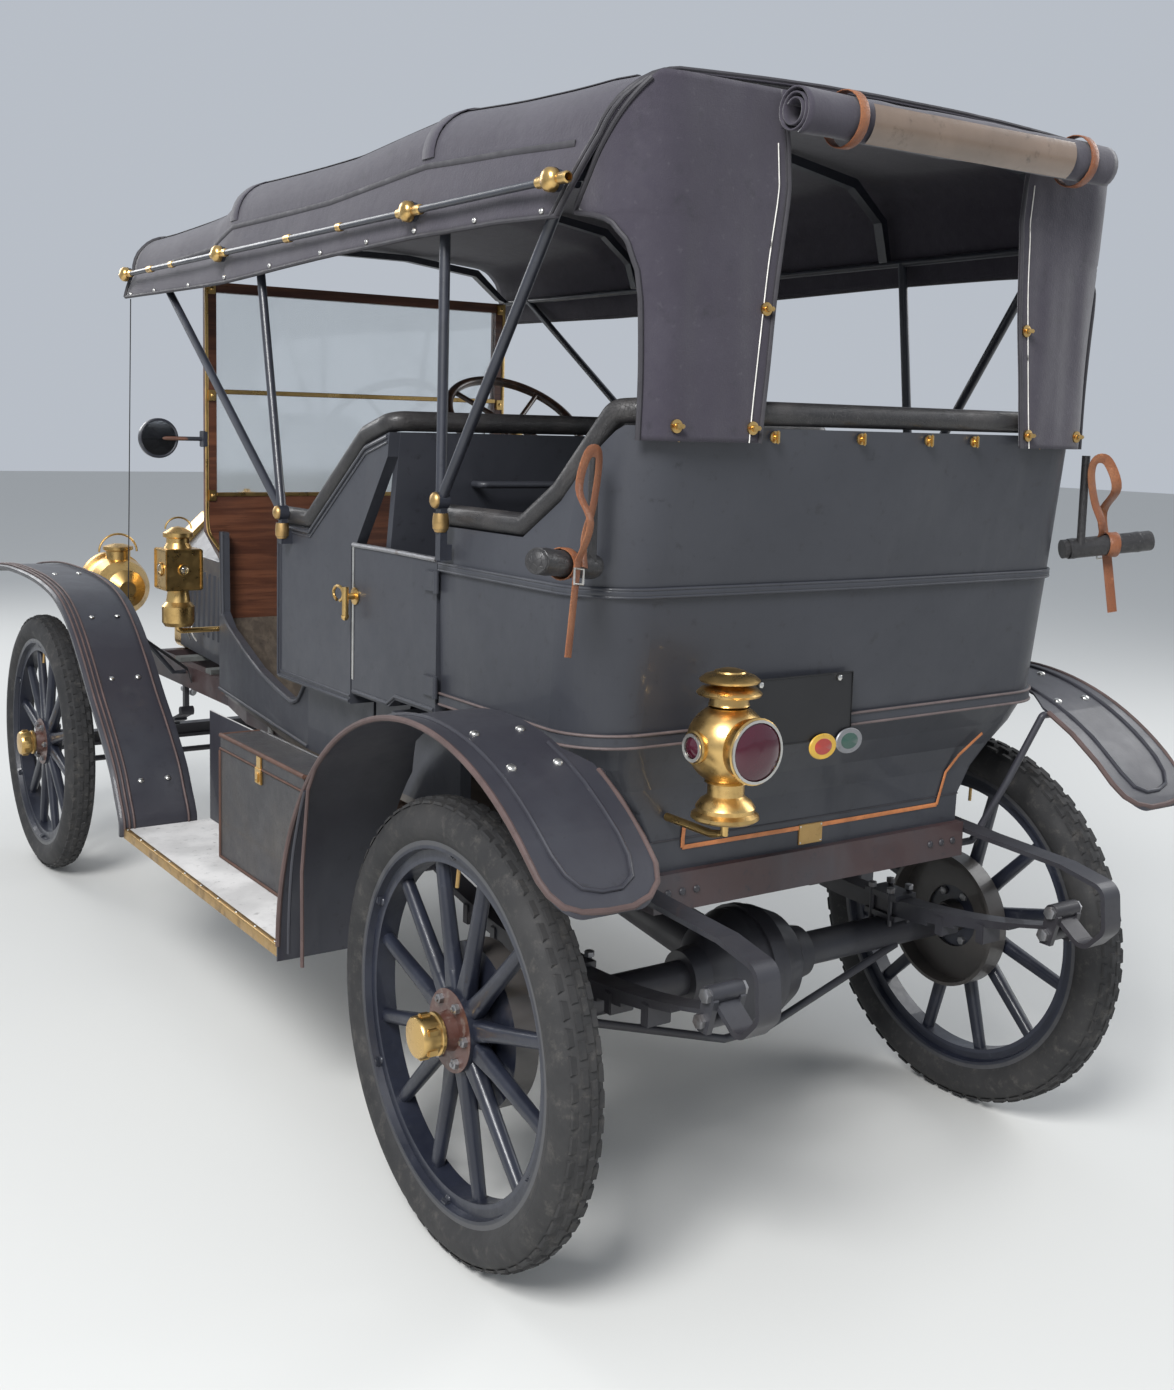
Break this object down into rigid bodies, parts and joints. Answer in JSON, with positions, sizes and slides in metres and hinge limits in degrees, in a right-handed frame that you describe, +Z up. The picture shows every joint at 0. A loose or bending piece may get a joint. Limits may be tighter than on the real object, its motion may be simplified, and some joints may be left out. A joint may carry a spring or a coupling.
{
  "type": "brass era touring car",
  "caption": "Open touring car of the brass era with a folding top, wooden spoked wheels, outboard springs, opening doors and bonnet, and wheels that steer and turn.",
  "frame": {"origin": "centre of the floor area that the car covers, at the tyres' lowest points", "axes": "+Y towards the front of the car, +X to its right, +Z up"},
  "size_m": [1.7, 4.268, 2.312],
  "materials": {
    "body_paint": "faded satin blue-charcoal paint with small rust marks",
    "wing_paint": "satin black paint worn brown along the beads",
    "frame_paint": "worn red-brown paint",
    "running_gear": "greasy black paint",
    "spring_steel": "dark oiled steel",
    "cast": "bare cast metal",
    "brass": "polished brass with light tarnish",
    "wheel_wood": "navy-black painted wood",
    "tyre": "grey-black rubber",
    "leather": "cracked black leather",
    "tan_leather": "tan bridle leather",
    "top_cloth": "dark purple-grey canvas",
    "dash_wood": "dark mahogany varnish",
    "board_wood": "pale covered board with brass edge",
    "iron": "gloss black iron",
    "box_cloth": "dark leathercloth",
    "glass": "clear plate glass",
    "plate": "black enamel, blank"
  },
  "bodies": {
    "chassis": {"frame": "frame_paint", "front_axle": "running_gear", "rear_axle": "running_gear", "springs": "spring_steel", "engine": "cast", "radiator": "brass", "starting_crank": "iron", "steering_column": "iron", "floor": "board_wood", "front_sides": "body_paint", "front_seat_back": "body_paint", "seats": "leather", "seat_rolls": "leather", "tonneau": "body_paint", "dash": "dash_wood", "windscreen": "dash_wood", "windscreen_glass": "glass", "front_wings": "wing_paint", "rear_wings": "wing_paint", "running_boards": "board_wood", "toolbox": "box_cloth", "canopy": "top_cloth", "rear_quarters": "top_cloth", "rear_curtain": "top_cloth", "top_irons": "iron", "tail_lamp": "brass", "front_lamps": "brass", "number_plate": "plate", "top_rests": "iron", "top_straps": "leather", "exhaust": "running_gear", "levers": "iron"},
    "knuckle_left": {"knuckle_left": "running_gear"},
    "knuckle_right": {"knuckle_right": "running_gear"},
    "tie_rod": {"tie_rod": "running_gear"},
    "drag_link": {"drag_link": "running_gear"},
    "pitman_arm": {"pitman_arm": "running_gear"},
    "steering_wheel": {"steering_wheel": "iron"},
    "door_left": {"door_left": "body_paint"},
    "door_right": {"door_right": "body_paint"},
    "bonnet_left": {"bonnet_left": "body_paint"},
    "bonnet_right": {"bonnet_right": "body_paint"},
    "toolbox_lid": {"toolbox_lid": "box_cloth"},
    "wheel_front_left": {"wheel_front_left": "wheel_wood", "tyre_front_left": "tyre"},
    "wheel_front_right": {"wheel_front_right": "wheel_wood", "tyre_front_right": "tyre"},
    "wheel_rear_left": {"wheel_rear_left": "wheel_wood", "tyre_rear_left": "tyre"},
    "wheel_rear_right": {"wheel_rear_right": "wheel_wood", "tyre_rear_right": "tyre"}
  },
  "joints": [
    {"name": "steer_left", "type": "hinge", "parent": "chassis", "child": "knuckle_left", "pos_m": [-0.625, 1.5345, 0.457], "axis": [0, 0, 1], "range_deg": [-24, 24]},
    {"name": "steer_right", "type": "hinge", "parent": "chassis", "child": "knuckle_right", "pos_m": [0.625, 1.5345, 0.457], "axis": [0, 0, 1], "range_deg": [-24, 24]},
    {"name": "tie_rod_pivot", "type": "hinge", "parent": "knuckle_left", "child": "tie_rod", "pos_m": [-0.625, 1.3845, 0.409], "axis": [0, 0, 1], "range_deg": [-24, 24]},
    {"name": "drag_link_pivot", "type": "hinge", "parent": "knuckle_right", "child": "drag_link", "pos_m": [0.455, 1.5345, 0.553], "axis": [0, 0, 1], "range_deg": [-24, 24]},
    {"name": "pitman_swing", "type": "hinge", "parent": "chassis", "child": "pitman_arm", "pos_m": [0.426, 0.6845, 0.745], "axis": [1, 0, 0], "range_deg": [-18.2, 18.2]},
    {"name": "steering_wheel_turn", "type": "hinge", "parent": "chassis", "child": "steering_wheel", "pos_m": [0.31, 0.0075, 1.64], "axis": [0, -0.611, 0.7916], "range_deg": [-216, 216]},
    {"name": "door_left_swing", "type": "hinge", "parent": "chassis", "child": "door_left", "pos_m": [-0.646, -1.2665, 1.18], "axis": [0, 0, 1], "range_deg": [0, 80]},
    {"name": "door_right_swing", "type": "hinge", "parent": "chassis", "child": "door_right", "pos_m": [0.646, -1.2665, 1.18], "axis": [0, 0, -1], "range_deg": [0, 80]},
    {"name": "bonnet_left_lift", "type": "hinge", "parent": "chassis", "child": "bonnet_left", "pos_m": [0, 0.9375, 1.298], "axis": [0, 1, 0], "range_deg": [0, 60]},
    {"name": "bonnet_right_lift", "type": "hinge", "parent": "chassis", "child": "bonnet_right", "pos_m": [0, 0.9375, 1.298], "axis": [0, -1, 0], "range_deg": [0, 60]},
    {"name": "toolbox_lid_lift", "type": "hinge", "parent": "chassis", "child": "toolbox_lid", "pos_m": [-0.59, -0.4475, 0.795], "axis": [0, 1, 0], "range_deg": [0, 80]},
    {"name": "spin_front_left", "type": "hinge", "parent": "knuckle_left", "child": "wheel_front_left", "pos_m": [-0.711, 1.5345, 0.457], "axis": [1, 0, 0], "continuous": true},
    {"name": "spin_front_right", "type": "hinge", "parent": "knuckle_right", "child": "wheel_front_right", "pos_m": [0.711, 1.5345, 0.457], "axis": [1, 0, 0], "continuous": true},
    {"name": "spin_rear_left", "type": "hinge", "parent": "chassis", "child": "wheel_rear_left", "pos_m": [-0.711, -1.5125, 0.457], "axis": [1, 0, 0], "continuous": true},
    {"name": "spin_rear_right", "type": "hinge", "parent": "chassis", "child": "wheel_rear_right", "pos_m": [0.711, -1.5125, 0.457], "axis": [1, 0, 0], "continuous": true}
  ],
  "couplings": [
    {"joint": "steer_right", "follows": "steer_left", "ratio": 1},
    {"joint": "tie_rod_pivot", "follows": "steer_left", "ratio": -1},
    {"joint": "drag_link_pivot", "follows": "steer_left", "ratio": -1},
    {"joint": "pitman_swing", "follows": "steer_left", "ratio": -0.7556},
    {"joint": "steering_wheel_turn", "follows": "steer_left", "ratio": 9}
  ]
}
